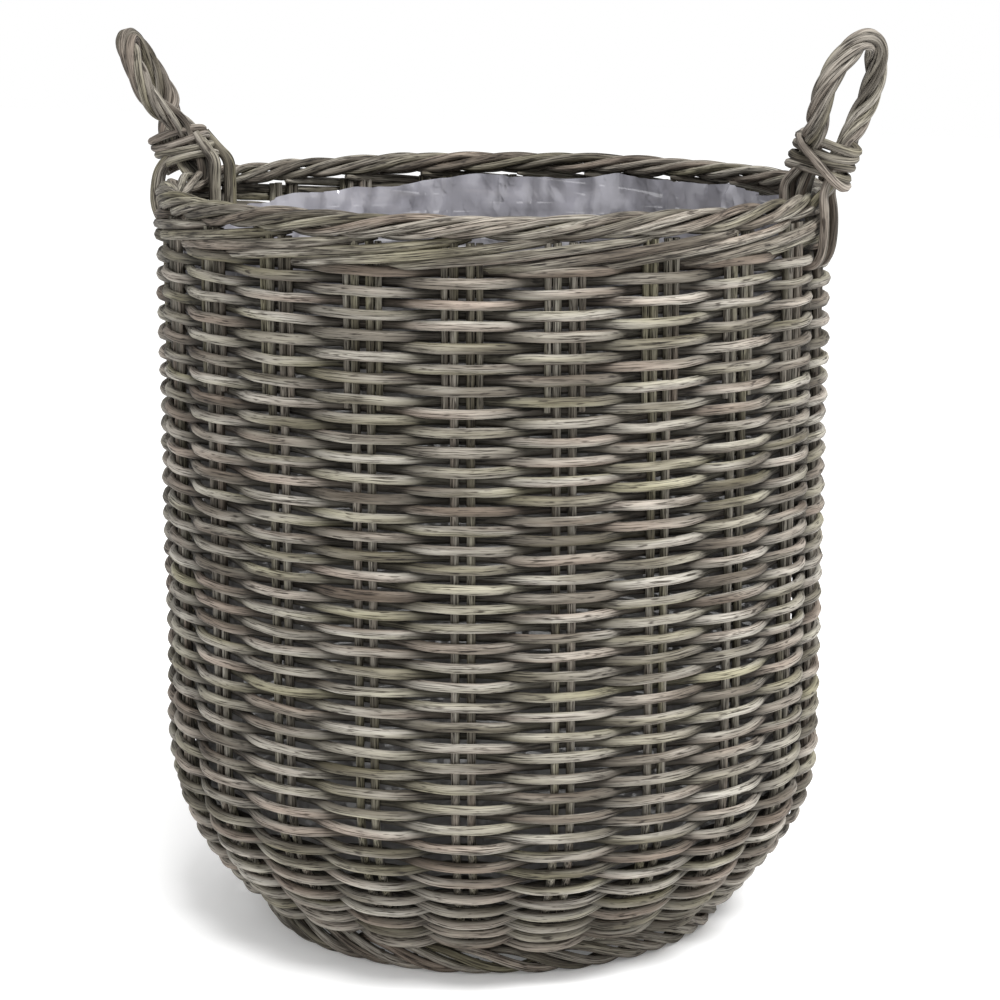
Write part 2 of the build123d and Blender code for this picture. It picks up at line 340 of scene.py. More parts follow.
lumps = add(skin, MATH, {"operation": "MULTIPLY_ADD"}, {0: lumps, 1: lump_gain, 2: tint})
lumps = add(skin, MATH, {"operation": "SUBTRACT"}, {0: lumps, 1: lump_middle})
growth = add(skin, MATH, {"operation": "MULTIPLY_ADD"}, {0: lumps, 1: given["Swell"], 2: 1.0})
thickness = add(skin, MATH, {"operation": "MULTIPLY"}, {0: growth, 1: given["Cane Radius"]})
thickness = add(skin, MATH, {"operation": "MULTIPLY"}, {0: thickness, 1: lines.outputs["whole"]})
swept = add(skin, "GeometryNodeCurveToMesh", inputs={
    "Curve": lines, "Profile Curve": ring, "Scale": thickness, "Fill Caps": True,
})
lengthwise = add(skin, "ShaderNodeCombineXYZ", inputs={2: along})
cane_place = add(skin, VECTOR, {"operation": "MULTIPLY_ADD"}, {
    0: ring.outputs["across"], 1: given["Cane Radius"], 2: lengthwise,
})
# The depth is stored for the rattan's painted shade behind the stakes.
stored = (("cane", "FLOAT_VECTOR", cane_place), ("tint", "FLOAT", tint), ("depth", "FLOAT", depth))
for label, kind, value in stored:
    settings = {"data_type": kind, "domain": "POINT"}
    swept = add(skin, "GeometryNodeStoreNamedAttribute", settings, {0: swept, "Name": label, "Value": value})
swept = add(skin, "GeometryNodeSetShadeSmooth", inputs={0: swept})
add(skin, "NodeGroupOutput", inputs={0: swept})


def skinned(tree, curve, given, depth=1.0):
    """End a tree in the skin group, made real and with its material set."""
    skin_inputs = {label: given[label] for label in cane_sockets if label != "Geometry"}
    skin_inputs.update({"Geometry": curve, "Depth": depth})
    canes = add(tree, "GeometryNodeGroup", {"node_tree": skin}, skin_inputs)
    real = add(tree, "GeometryNodeRealizeInstances", inputs={0: canes})
    painted = add(tree, "GeometryNodeSetMaterial", inputs={0: real, "Material": given["Material"]})
    add(tree, "NodeGroupOutput", inputs={0: painted})


def path_mesh(name, paths):
    """Lines as a mesh of points and edges, which a tree reads as curves."""
    points = [point for path in paths for point in path]
    edges = []
    first = 0
    for path in paths:
        edges += [(first + step, first + step + 1) for step in range(len(path) - 1)]
        first += len(path)
    mesh = bpy.data.meshes.new(name)
    mesh.from_pydata(points, edges, [])
    return mesh


def grow(name, tree, paths, body, nodes, material_slot, **settings):
    """Run a tree once on these lines, keep the plain mesh it makes, and let it stand for its CAD nodes."""
    seedling = link_mesh(name + "_seedling", path_mesh(name, paths))
    modifier = seedling.modifiers.new("grow", "NODES")
    modifier.node_group = tree
    sockets = {item.name: item.identifier for item in tree.interface.items_tree if item.in_out == "INPUT"}
    for label, value in settings.items():
        modifier[sockets[label.replace("_", " ").title()]] = value
    evaluated = seedling.evaluated_get(bpy.context.evaluated_depsgraph_get())
    mesh = bpy.data.meshes.new_from_object(evaluated)
    bpy.data.objects.remove(seedling)
    mesh.name = name
    piece = link_mesh(name, mesh)
    if body:
        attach(piece, body)
    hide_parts(*nodes)
    print(name, "has", len(mesh.polygons), "faces")
    return piece


print("trees:", [group.name for group in bpy.data.node_groups])

# %% [markdown]
# ## The wall's line
# The wall follows one line from the base to the rim: a straight flare, a round shoulder and an upright
# side. The line comes from the CAD boxes and three sizes of the design, so that the weave lies where the
# CAD rings lie.

# %% The wall's line
stake_groups = 22
pitch_angle = 2 * pi / stake_groups
wall_half = 6.5 * mm
base_edge_inset = 7 * mm
shoulder_corner = (199 * mm, 77 * mm)
shoulder_bend = 114 * mm
upsett_start = 5 * mm
base_low, base_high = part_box("base_weave")
wale_low, wale_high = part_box("top_wale")
base_middle = (base_low[2] + base_high[2]) / 2
start_corner = (base_high[0] + base_edge_inset, base_middle)
end_corner = (wale_high[0] - wall_half, wale_high[2])


def wall_point(distance):
    """X and Z at a distance along the wall's middle line, and where its flare and shoulder end."""
    flare = atan2(shoulder_corner[1] - start_corner[1], shoulder_corner[0] - start_corner[0])
    side = atan2(end_corner[1] - shoulder_corner[1], end_corner[0] - shoulder_corner[0])
    tangent = shoulder_bend * tan((side - flare) / 2)
    flare_end = hypot(shoulder_corner[0] - start_corner[0], shoulder_corner[1] - start_corner[1]) - tangent
    bend_end = flare_end + shoulder_bend * (side - flare)
    turn = min(max(distance - flare_end, 0) / shoulder_bend, side - flare)
    angle = flare + turn
    straight = min(distance, flare_end)
    beyond = max(distance - bend_end, 0)
    across_bend = shoulder_bend * (sin(angle) - sin(flare))
    up_bend = shoulder_bend * (cos(flare) - cos(angle))
    x = start_corner[0] + straight * cos(flare) + across_bend + beyond * cos(side)
    z = start_corner[1] + straight * sin(flare) + up_bend + beyond * sin(side)
    return x, z, flare_end, bend_end


flare_end, shoulder_end = wall_point(0)[2:]
side_end = shoulder_end + (wale_low[2] - wall_point(shoulder_end)[1])
print("wall line, mm:", [round(value / mm, 1) for value in (flare_end, shoulder_end, side_end)])

# %% [markdown]
# ## The woven wall
# The wall is randed: a weaver passes in front of one stake group and behind the next, and the row above
# does the opposite. Drawing seventy wavy rings by hand is hopeless, and a bumpy texture would not let light
# through. The tree puts a circle at each row's place on the wall's line, then waves each one in and out
# with a sine. A real weaver is pressed against the stakes. This one is not, and it sinks a little way into
# them.

# %% Woven rows
rows_tree, given = new_tree("woven rows", {
    **cane_sockets,
    "Rows": ("Int", 13),
    "First Row": ("Int", 0),
    "Stakes": ("Int", 22),
    "Phase": ("Float", 0.0),
    "Weave Depth": ("Float", 0.0047),
    "Wander": ("Float", 0.0036),
})
line = add(rows_tree, "GeometryNodeMeshToCurve", inputs={0: given["Geometry"]})
places = add(rows_tree, "GeometryNodeCurveToPoints", {"mode": "COUNT"}, {0: line, "Count": given["Rows"]})
here = add(rows_tree, "GeometryNodeInputPosition")
radius = add(rows_tree, "ShaderNodeSeparateXYZ", inputs={0: here})
size = add(rows_tree, "ShaderNodeCombineXYZ", inputs={0: radius, 1: radius, 2: 1.0})
upward = places.outputs["Tangent"]
outward = add(rows_tree, "ShaderNodeVectorRotate", {"rotation_type": "Y_AXIS"}, {
    "Vector": upward, "Angle": pi / 2,
})
marked = add(rows_tree, CAPTURE, {"domain": "POINT"}, {0: places}, {
    "size": ("VECTOR", size),
    "row": ("FLOAT", add(rows_tree, "GeometryNodeInputIndex")),
    "upward": ("VECTOR", upward),
    "outward": ("VECTOR", outward),
})
on_axis = add(rows_tree, VECTOR, {"operation": "MULTIPLY"}, {0: here, 1: (0, 0, 1)})
centred = add(rows_tree, "GeometryNodeSetPosition", inputs={0: marked, "Position": on_axis})
steps_per_stake = 13
circle = add(rows_tree, "GeometryNodeCurvePrimitiveCircle", inputs={
    "Resolution": stake_groups * steps_per_stake, "Radius": 1.0,
})
rings = add(rows_tree, "GeometryNodeInstanceOnPoints", inputs={
    0: centred, "Instance": circle, "Scale": marked.outputs["size"],
})
real_rings = add(rows_tree, "GeometryNodeRealizeInstances", inputs={0: rings})
print("points in each row:", stake_groups * steps_per_stake)

# %% [markdown]
# ## The wave of each row
# A weaver stands out from the wall where it passes in front of a stake group, and lies inside where it
# passes behind. A plain sine gives pointed crests. The sine of a sine is flatter, like stiff cane over two
# stakes. Slow noise makes some crests fuller and lets a row drift up and down.

# %% The wave of each row
flatness = 1.25
row_level = 0.37
uneven_scale = 24.0
bulge_range = 0.6
bulge_least = 0.7
share = add(rows_tree, "GeometryNodeSplineParameter")
turn = add(rows_tree, MATH, {"operation": "MULTIPLY"}, {0: share, 1: 2 * pi})
row = add(rows_tree, MATH, {"operation": "ADD"}, {0: marked.outputs["row"], 1: given["First Row"]})
half_waves = add(rows_tree, MATH, {"operation": "MULTIPLY"}, {0: given["Stakes"], 1: pi})
wave = add(rows_tree, MATH, {"operation": "MULTIPLY_ADD"}, {0: share, 1: half_waves, 2: given["Phase"]})
wave = add(rows_tree, MATH, {"operation": "MULTIPLY_ADD"}, {0: row, 1: pi, 2: wave})
wave = add(rows_tree, MATH, {"operation": "SINE"}, {0: wave})
wave = add(rows_tree, MATH, {"operation": "MULTIPLY"}, {0: wave, 1: flatness})
wave = add(rows_tree, MATH, {"operation": "SINE"}, {0: wave})
level = add(rows_tree, MATH, {"operation": "MULTIPLY_ADD"}, {0: row, 1: row_level, 2: given["Seed"]})
uneven = add(rows_tree, "ShaderNodeTexNoise", {"noise_dimensions": "4D"}, {
    "Vector": here, "W": level, "Scale": uneven_scale, "Detail": 1.5,
})
uneven = add(rows_tree, "ShaderNodeSeparateXYZ", inputs={0: uneven.outputs["Color"]})
bulge = add(rows_tree, MATH, {"operation": "MULTIPLY_ADD"}, {
    0: uneven.outputs[0], 1: bulge_range, 2: bulge_least,
})
push = add(rows_tree, MATH, {"operation": "MULTIPLY"}, {0: wave, 1: given["Weave Depth"]})
push = add(rows_tree, MATH, {"operation": "MULTIPLY"}, {0: push, 1: bulge})
drift = add(rows_tree, MATH, {"operation": "SUBTRACT"}, {0: uneven.outputs[1], 1: 0.5})
drift = add(rows_tree, MATH, {"operation": "MULTIPLY"}, {0: drift, 1: given["Wander"]})
pushed = add(rows_tree, VECTOR, {"operation": "SCALE"}, {0: marked.outputs["outward"], "Scale": push})
drifted = add(rows_tree, VECTOR, {"operation": "SCALE"}, {0: marked.outputs["upward"], "Scale": drift})
offset = add(rows_tree, VECTOR, {"operation": "ADD"}, {0: pushed, 1: drifted})
offset = add(rows_tree, "ShaderNodeVectorRotate", {"rotation_type": "Z_AXIS"}, {
    "Vector": offset, "Angle": turn,
})
# How far in front each pass lies, 1 in front of a stake and 0 behind it. The rattan paints shade where it is
# low.
pass_depth = add(rows_tree, MATH, {"operation": "MULTIPLY_ADD"}, {0: wave, 1: 0.5, 2: 0.5})
real_rings = add(rows_tree, CAPTURE, {"domain": "POINT"}, {0: real_rings}, {"depth": ("FLOAT", pass_depth)})
waved = add(rows_tree, "GeometryNodeSetPosition", inputs={0: real_rings, "Offset": offset})
skinned(rows_tree, waved, given, real_rings.outputs["depth"])
print("nodes in the tree of rows:", len(rows_tree.nodes))

# %% [markdown]
# ## The six bands of the wall
# A maker weaves the wall in one go. Here it grows band by band, because each band stands for one CAD ring.
# The row numbers run on from band to band, so that the rows keep alternating.

# %% The six bands of the wall
row_pitch = 5.76 * mm
weaver_radius = 2.95 * mm
side_depth = 4.7 * mm
shoulder_depth = 5.6 * mm
side_bands = 4
side_step = (side_end - shoulder_end) / side_bands
band_ends = [("upsett_weave", upsett_start, flare_end), ("shoulder_weave", flare_end, shoulder_end)]
for number in range(side_bands):
    low = shoulder_end + number * side_step
    band_ends.append((f"side_weave_{number + 1}", low, low + side_step))
row_count = 0
line_steps = 24
for number, (node, low, high) in enumerate(band_ends):
    rows = round(high / row_pitch) - round(low / row_pitch)
    inset = (high - low) / rows / 2
    band_line = []
    for step in range(line_steps + 1):
        x, z = wall_point(low + inset + (high - low - 2 * inset) * step / line_steps)[:2]
        band_line.append((x, 0, z))
    grow(
        node.replace("_weave", "_canes"), rows_tree, [band_line], "basket", [node], "weave_cane",
        rows=rows, first_row=row_count, stakes=stake_groups, cane_radius=weaver_radius, seed=3 + number,
        swell=0.15, weave_depth=side_depth if low >= shoulder_end else shoulder_depth, material=weave_cane,
    )
    row_count += rows
print("rows of weave:", row_count)

# %% [markdown]
# ## The woven base
# The base is woven like the wall, but flat, round spokes that stand between the stake groups. The same tree
# makes it from a straight line in the plane of the base, with its wave shifted by a quarter turn.

# %% Base
base_eye = 24 * mm
base_cane_radius = 2.5 * mm
base_row_pitch = 2.05 * base_cane_radius
base_line = [(base_eye + base_cane_radius, 0, base_middle), (base_high[0] - base_cane_radius, 0, base_middle)]
base_rows = round((base_line[1][0] - base_line[0][0]) / base_row_pitch)
grow(
    "base_canes", rows_tree, [base_line], "basket", ["base_weave"], "weave_cane",
    rows=base_rows, stakes=stake_groups, phase=pi / 2, weave_depth=3.4 * mm, cane_radius=base_cane_radius,
    wander=0.8 * mm, seed=21, material=weave_cane,
)

# %% [markdown]
# ## Strands that repeat about the basket
# The border, the foot and the wale are each one strand's path, copied round the basket: once a stake group
# for the wale, twice for the border and the foot. The path is worked out once, and the tree makes each copy
# a little different.

# %% Strand tree
loose_scale = 13.0
strand_tree, given = new_tree("strands about the basket", {
    **cane_sockets,
    "Strands": ("Int", 22),
    "Spread": ("Float", 0.2),
    "Looseness": ("Float", 0.004),
})
line = add(strand_tree, "GeometryNodeMeshToCurve", inputs={0: given["Geometry"]})
copies = add(strand_tree, "GeometryNodeDuplicateElements", {"domain": "SPLINE"}, {
    0: line, "Amount": given["Strands"],
})
number = copies.outputs[1]
pick = add(strand_tree, "FunctionNodeRandomValue", {"data_type": "FLOAT"}, {
    "ID": number, "Seed": given["Seed"],
})
step = add(strand_tree, MATH, {"operation": "MULTIPLY_ADD"}, {
    0: pick.outputs[1], 1: given["Spread"], 2: number,
})
full_turn = add(strand_tree, MATH, {"operation": "DIVIDE"}, {0: 2 * pi, 1: given["Strands"]})
turn = add(strand_tree, MATH, {"operation": "MULTIPLY"}, {0: step, 1: full_turn})
here = add(strand_tree, "GeometryNodeInputPosition")
turned = add(strand_tree, "ShaderNodeVectorRotate", {"rotation_type": "Z_AXIS"}, {
    "Vector": here, "Angle": turn,
})
loose = add(strand_tree, "ShaderNodeTexNoise", {"noise_dimensions": "4D"}, {
    "Vector": here, "W": number, "Scale": loose_scale, "Detail": 1.0,
})
loose = add(strand_tree, VECTOR, {"operation": "SUBTRACT"}, {0: loose.outputs["Color"], 1: (0.5, 0.5, 0.5)})
loose = add(strand_tree, VECTOR, {"operation": "SCALE"}, {0: loose, "Scale": given["Looseness"]})
place = add(strand_tree, VECTOR, {"operation": "ADD"}, {0: turned, 1: loose})
laid = add(strand_tree, "GeometryNodeSetPosition", inputs={0: copies, "Position": place})
skinned(strand_tree, laid, given)


def rolled_strand(ring_radius, height, rope_radius, columns, start_angle, column_angle, tuck, tallness=1.0):
    """One strand that runs along a ring for some columns of stakes while it winds about it."""
    path = []
    steps = 60
    for step in range(steps + 1):
        share = step / steps
        travel = columns * share * pitch_angle
        roll = start_angle + columns * share * column_angle
        near = rope_radius * (1 - tuck * abs(2 * share - 1) ** 6)
        out = ring_radius + near * cos(roll)
        path.append((out * cos(travel), out * sin(travel), height + tallness * near * sin(roll)))
    return path


print("nodes in the strand tree:", len(strand_tree.nodes))

# %% [markdown]
# ## The rolled border and the foot
# The stakes are bent down over the rim and laid into each other: each runs along for several stakes, rolls
# over the top and dives inside. The foot border is the same idea the other way round, with shorter strands.

# %% Border and foot
border_low, border_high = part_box("rolled_border")
border_half = (border_high[2] - border_low[2]) / 2
border_ring = border_high[0] - border_half
border_middle = border_low[2] + border_half
border_cane_radius = 2.75 * mm
border_path = rolled_strand(
    border_ring, border_middle, border_half - border_cane_radius, columns=2.7, start_angle=radians(-125),
    column_angle=radians(144), tuck=0.75,
)
grow(
    "rolled_border_canes", strand_tree, [border_path], "basket", ["rolled_border"], "border_cane",
    strands=2 * stake_groups, spread=0.3, looseness=4.5 * mm, cane_radius=border_cane_radius,
    swell=0.2, seed=31, taper=0.7, material=border_cane,
)
foot_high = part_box("foot_border")[1]
foot_cane_radius = 3.0 * mm
foot_roll = 4.2 * mm
foot_tallness = 1.5
foot_ring = foot_high[0] - foot_roll - foot_cane_radius
foot_middle = 1.1 * foot_cane_radius + foot_tallness * foot_roll
foot_path = rolled_strand(
    foot_ring, foot_middle, foot_roll, columns=2.0, start_angle=radians(130), column_angle=radians(-140),
    tuck=0.3, tallness=foot_tallness,
)
grow(
    "foot_border_canes", strand_tree, [foot_path], "basket", ["foot_border"], "border_cane",
    strands=2 * stake_groups, spread=0.25, looseness=1.6 * mm, cane_radius=foot_cane_radius,
    swell=0.12, seed=33, taper=0.6, material=border_cane,
)

# %% [markdown]
# ## The wale
# Just under the rim the weave is locked by a wale. Each rod passes in front of two stake groups and behind
# one, and starts one group further on than the last, so that it climbs over its neighbour.

# %% Wale
wale_columns = 3.0
wale_cane_radius = 3.1 * mm
wale_depth = 5.0 * mm
wale_climb = 17 * mm
wale_start = 0.5
wale_level_share = 0.45
wale_path = []
wale_steps = 40
for step in range(wale_steps + 1):
    share = step / wale_steps
    travel = (share * wale_columns + wale_start) * pitch_angle
    in_front = 1 - 2 * abs(2 * share - 1) ** 4
    out = end_corner[0] + wale_depth * in_front
    height = (wale_low[2] + wale_high[2]) / 2 + wale_climb * (share - wale_level_share)
    wale_path.append((out * cos(travel), out * sin(travel), height))
grow(
    "top_wale_canes", strand_tree, [wale_path], "basket", ["top_wale"], "border_cane",
    strands=stake_groups, spread=0.2, looseness=3.0 * mm, cane_radius=wale_cane_radius, swell=0.16, seed=41,
    taper=0.6, material=border_cane,
)

# %% [markdown]
# ## The stakes
# The stakes are plain straight canes that show only in the gaps of the weave. Their CAD shapes are right,
# so they stay and only get the rattan. Its pattern reads Object coordinates with Z as the direction of the
# grain.

# %% Stakes and base sticks
kept_nodes = [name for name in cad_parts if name.startswith(("stake_group", "slath"))]
for name in kept_nodes:
    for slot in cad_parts[name].material_slots:
        slot.material = stake_cane
print("CAD pieces that stay:", len(kept_nodes))

# %% [markdown]
# ## The rope handles
# Each handle is a bow of five canes twisted together. It leaves the rim as two legs side by side, is bound
# at the neck, opens into a loop and closes again. The tree lays each cane at a turning angle about the
# bow's line.

# %% Twisted rope
rope_steps = 150
rope_uneven_scale = 22.0
lay_range = 0.8
lay_least = 0.62
rope_tree, given = new_tree("twisted rope", {
    **cane_sockets,
    "Strands": ("Int", 5),
    "Lay Radius": ("Float", 0.0042),
    "Lay Length": ("Float", 0.085),
})
line = add(rope_tree, "GeometryNodeMeshToCurve", inputs={0: given["Geometry"]})
points = add(rope_tree, "GeometryNodeResampleCurve", {"mode": "COUNT"}, {0: line, "Count": rope_steps})
framed = add(rope_tree, "GeometryNodeSetCurveNormal", {"mode": "MINIMUM_TWIST"}, {0: points})
marked = add(rope_tree, CAPTURE, {"domain": "POINT"}, {0: framed}, {
    "normal": ("VECTOR", add(rope_tree, "GeometryNodeInputNormal")),
    "forward": ("VECTOR", add(rope_tree, "GeometryNodeInputTangent")),
    "run": ("FLOAT", add(rope_tree, "GeometryNodeSplineParameter").outputs["Length"]),
})
copies = add(rope_tree, "GeometryNodeDuplicateElements", {"domain": "SPLINE"}, {
    0: marked, "Amount": given["Strands"],
})
turn = add(rope_tree, MATH, {"operation": "DIVIDE"}, {0: marked.outputs["run"], 1: given["Lay Length"]})
start = add(rope_tree, MATH, {"operation": "DIVIDE"}, {0: copies.outputs[1], 1: given["Strands"]})
turn = add(rope_tree, MATH, {"operation": "ADD"}, {0: turn, 1: start})
turn = add(rope_tree, MATH, {"operation": "MULTIPLY"}, {0: turn, 1: 2 * pi})
turned = add(rope_tree, "ShaderNodeVectorRotate", {"rotation_type": "AXIS_ANGLE"}, {
    "Vector": marked.outputs["normal"], "Axis": marked.outputs["forward"], "Angle": turn,
})
uneven = add(rope_tree, "ShaderNodeTexNoise", {"noise_dimensions": "4D"}, {
    "Vector": add(rope_tree, "GeometryNodeInputPosition"), "W": copies.outputs[1],
    "Scale": rope_uneven_scale, "Detail": 1.0,
})
uneven = add(rope_tree, MATH, {"operation": "MULTIPLY_ADD"}, {0: uneven, 1: lay_range, 2: lay_least})
lay = add(rope_tree, MATH, {"operation": "MULTIPLY"}, {0: uneven, 1: given["Lay Radius"]})
beside = add(rope_tree, VECTOR, {"operation": "SCALE"}, {0: turned, "Scale": lay})
twisted = add(rope_tree, "GeometryNodeSetPosition", inputs={0: copies, "Offset": beside})
skinned(rope_tree, twisted, given)

cane_tree, given = new_tree("single canes", {**cane_sockets, "Steps": ("Int", 60)})
line = add(cane_tree, "GeometryNodeMeshToCurve", inputs={0: given["Geometry"]})
points = add(cane_tree, "GeometryNodeResampleCurve", {"mode": "COUNT"}, {0: line, "Count": given["Steps"]})
skinned(cane_tree, points, given)
print("nodes in the rope tree:", len(rope_tree.nodes))

# %% [markdown]
# ## The handle's own frame
# Each handle leans out from the rim, so its shapes are easiest to say in a frame of its own: out from the
# basket, along the rim, and up the lean. The curves could be drawn by hand, but a list of places can be
# read and mirrored.

# %% Handle frame and curves
handle_lean = radians(23)
grip_turn = radians(15)
leg_offset = 8.5 * mm
neck_start = 17.5 * mm
handle_height = 101 * mm
neck_sway = 2 * mm
grip_sway = {1: 5 * mm, -1: 10 * mm}


def in_handle(side, out, along_rim, up):
    """A place in a leaning handle's own frame, as a place on the basket. Side is 1 at +X and -1 at -X.

    Neither handle stands quite true: both sway a little towards -X, as handmade ones do.
    """
    out -= side * (neck_sway + grip_sway[side] * up / handle_height)
    x = border_ring + out * cos(handle_lean) + up * sin(handle_lean)
    z = border_middle - out * sin(handle_lean) + up * cos(handle_lean)
    return (side * x, along_rim, z)


def smooth_line(points, order=4, steps=16):
    """A smooth line near these points, as a NURBS spline draws it."""
    data = bpy.data.curves.new("line", "CURVE")
    data.dimensions = "3D"
    spline = data.splines.new("NURBS")
    spline.points.add(len(points) - 1)
    for spot, point in zip(spline.points, points):
        spot.co = (*point, 1)
    spline.order_u = order
    spline.use_endpoint_u = True
    spline.resolution_u = steps
    drawn = bpy.data.objects.new("line", data)
    scene.collection.objects.link(drawn)
    mesh = bpy.data.meshes.new_from_object(drawn.evaluated_get(bpy.context.evaluated_depsgraph_get()))
    line = [tuple(vertex.co) for vertex in mesh.vertices]
    bpy.data.objects.remove(drawn)
    return line


def bow_line(side):
    """The bow: up the outer leg of the neck, round the grip and down the inner leg."""
    widths = [(24, 52), (29, 66), (26, 82), (16, 97), (5, 102.5)]
    half = [(leg_offset, 0, neck_start), (leg_offset, 0, 30 * mm), (leg_offset, 8 * mm, 41 * mm)]
    half += [(width * mm * sin(grip_turn), width * mm * cos(grip_turn), up * mm) for width, up in widths]
    points = half + [(-out, -along_rim, up) for out, along_rim, up in reversed(half)]
    return smooth_line([in_handle(side, *point) for point in points])


print("top of the right grip, metres:", [round(value, 3) for value in in_handle(1, 0, 0, handle_height)])

# %% [markdown]
# The neck is bound with a few turns of thinner cane. They are one coil about both legs, flattened like the
# legs are, with a tail that crosses over the turns and is tucked in.

# %% Neck wrapping
wrap_radius = 2.75 * mm
wrap_starts = {"right": 17 * mm, "left": 13 * mm}
wrap_wobble = 1.0 * mm
wrap_slant = 1.6 * mm
print("wrapping starts, mm:", {name: round(start / mm, 1) for name, start in wrap_starts.items()})


def wrap_lines(side, low, tail_out):
    """One coil of the neck's wrapping, from a height up the handle, and its tail if that shows."""
    half_long = leg_offset + 9 * mm
    half_short = 9.2 * mm
    turns = 4.2
    steps = 26
    pitch = 5.7 * mm
    coil = []
    for step in range(int(turns * steps) + 1):
        angle = 2 * pi * step / steps
        out = half_long * cos(angle) * (1 + 0.05 * cos(2 * angle))
        along_rim = half_short * sin(angle) * (1 + 0.12 * abs(cos(angle)))
        up = low + pitch * angle / (2 * pi) + wrap_wobble * sin(1.7 * angle) + wrap_slant * cos(angle)
        coil.append(in_handle(side, out, along_rim, up))
    if not tail_out:
        return [smooth_line(coil, steps=2)]
    tail = [
        (-0.95 * half_long, 0.3 * half_short, low + 21 * mm),
        (-1.0 * half_long, -0.8 * half_short, low + 19 * mm),
        (-0.5 * half_long, -1.6 * half_short, low + 14 * mm),
        (0.2 * half_long, -1.65 * half_short, low + 10 * mm),
        (0.8 * half_long, -1.45 * half_short, low + 4 * mm),
        (1.15 * half_long, -0.5 * half_short, low + 1 * mm),
        (1.05 * half_long, 0.6 * half_short, low + 2 * mm),
    ]
    return [smooth_line(coil, steps=2), smooth_line([in_handle(side, *point) for point in tail])]


# %% [markdown]
# From the neck the canes part, pass outside and inside the rim, and meet again through the weave under the
# wale. They hold the handle and flex when it is pulled.
# Real canes bend round each other where they are bound. These lines don't, so the canes pass through each
# other there.

# %% Ties
tie_offset = 11 * mm
tie_radius = 2.75 * mm
tie_turn_gap = 5.4 * mm
bulges = {("right", 1): 12 * mm, ("right", 2): 11 * mm, ("left", 1): 28 * mm, ("left", 2): 14 * mm}


def tie_line(side, along_rim, bulge):
    """One tie: from inside the neck over the outside of the rim, through the weave and back up inside."""
    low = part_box("right_handle_tie_1")[0][2] + tie_radius - border_middle
    points = [
        (17 * mm, 0.45 * along_rim, 30 * mm),
        (16 * mm, 0.6 * along_rim, 19 * mm),
        (bulge - 1 * mm, 0.85 * along_rim, 9 * mm),
        (bulge + 1 * mm, 1.05 * along_rim, -4 * mm),
        (bulge + 1 * mm, 1.1 * along_rim, -17 * mm),
        (0.7 * bulge + 3 * mm, 1.0 * along_rim, -29 * mm),
        (6 * mm, 0.9 * along_rim, low - 1 * mm),
        (-6 * mm, 0.9 * along_rim, low),
        (-12 * mm, 0.95 * along_rim, low + 7 * mm),
        (-12.5 * mm, along_rim, -12 * mm),
        (-12.5 * mm, along_rim, 3 * mm),
        (-13 * mm, 0.85 * along_rim, 14 * mm),
        (-6 * mm, 0.65 * along_rim, 21 * mm),
        (2 * mm, 0.5 * along_rim, 31 * mm),
    ]
    places = [(side * (border_ring + out), along, border_middle + up) for out, along, up in points]
    return smooth_line(places, order=3)


def leg_ends(side, along_rim):
    """The ends of the bow's own canes, which run on from both legs of the neck down into the border."""
    outer = [(18 * mm, 20 * mm), (14 * mm, 11 * mm), (6 * mm, 4 * mm), (2 * mm, -3 * mm)]
    inner = [(3 * mm, 27 * mm), (-1 * mm, 15 * mm), (-4 * mm, 6 * mm), (-3 * mm, -2 * mm)]
    lines = []
    for points in (outer, inner):
        spread = [0.25, 0.45, 0.7, 0.85]
        places = [
            (side * (border_ring + out), share * along_rim, border_middle + up)
            for (out, up), share in zip(points, spread)
        ]
        lines.append(smooth_line(places, order=3))
    return lines


for side_name, side in (("right", 1), ("left", -1)):
    body = side_name + "_handle"
    grow(
        side_name + "_bow_canes", rope_tree, [bow_line(side)], body, [side_name + "_handle_bow"],
        "handle_cane", cane_radius=2.7 * mm, swell=0.16, seed=50 + side, material=handle_cane,
    )
    wraps = wrap_lines(side, wrap_starts[side_name], side_name == "right")
    grow(
        side_name + "_wrap_canes", cane_tree, wraps, body, [side_name + "_handle_wraps"], "handle_cane",
        cane_radius=wrap_radius, steps=150, seed=60 + side, material=handle_cane,
    )
    for number, along_rim in ((1, -tie_offset), (2, tie_offset)):
        bulge = bulges[side_name, number]
        turns = [tie_line(side, along_rim, bulge), tie_line(side, along_rim + tie_turn_gap, bulge - 1 * mm)]
        turns += leg_ends(side, along_rim) + leg_ends(side, 0.4 * along_rim)
        tie = grow(
            f"{side_name}_tie_cane_{number}", cane_tree, turns, None, [f"{side_name}_handle_tie_{number}"],
            "handle_cane", cane_radius=tie_radius, steps=90, seed=70 + 5 * side + number,
            material=handle_cane,
        )
        in_handle(side, 0, 0, 2 * mm)
        in_handle(side, 0, 0, 22 * mm)
        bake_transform(tie)

# %% [markdown]
# ## The liner
# A bag of thin clear film keeps chips of bark from falling through the weave. It was pressed in by hand, so
# it stands in creases with sharp edges. Its top lies double and looks milky, and it is painted white along
# the crease ridges as highlights. Lower down the clear film would show the dark of the shaded inside, so a
# darker and nearly solid surface stands there as painted shade. Cloth simulation could crumple it, but stiff
# film hardly stretches, and ridged noise on a fine mesh gives creases like these in a moment.

# %% Film material
milk_start = 0.38
milk_full = 0.42
crinkle_scale = 24.0
film, tree = surface("clear polythene film")
coordinates = add(tree, "ShaderNodeTexCoord").outputs["Object"]
height = add(tree, "ShaderNodeSeparateXYZ", inputs={0: coordinates}).outputs[2]
crinkle = add(tree, "ShaderNodeTexNoise", {"noise_type": "RIDGED_MULTIFRACTAL"}, {
    "Vector": coordinates, "Scale": crinkle_scale, "Detail": 1.5, "Roughness": 0.5,
})
